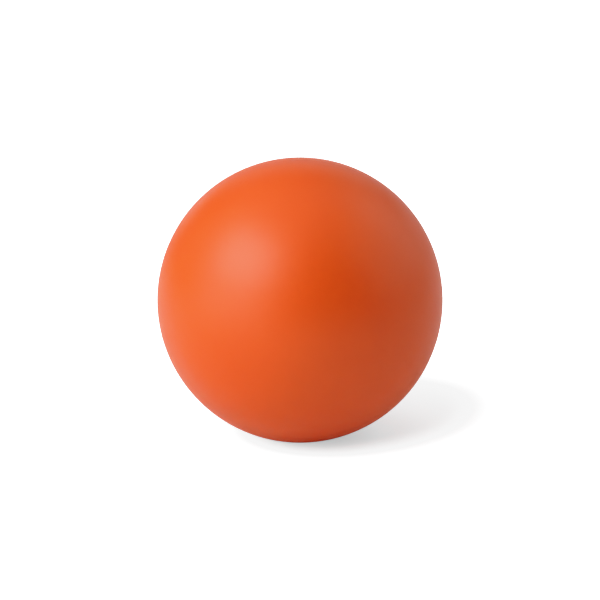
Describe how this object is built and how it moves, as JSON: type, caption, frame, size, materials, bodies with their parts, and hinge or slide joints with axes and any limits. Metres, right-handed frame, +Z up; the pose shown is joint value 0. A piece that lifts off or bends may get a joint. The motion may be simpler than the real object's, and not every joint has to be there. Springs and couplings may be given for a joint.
{
  "type": "table tennis ball",
  "caption": "Hollow satin orange plastic ball of table tennis size: thin half shells lapped at the rim and cemented along a hairline seam.",
  "frame": {"origin": "the ball's centre", "axes": "+Z up; +Y along the moulding axis, square to the seam, from the front half to the rear half; +X to the right seen from the front"},
  "size_m": [0.04, 0.04, 0.04],
  "materials": {
    "shell_plastic": "satin",
    "seam_cement": "satin"
  },
  "bodies": {
    "root": {"front_half_shell": "shell_plastic", "rear_half_shell": "shell_plastic", "seam_cement": "seam_cement"}
  },
  "joints": []
}
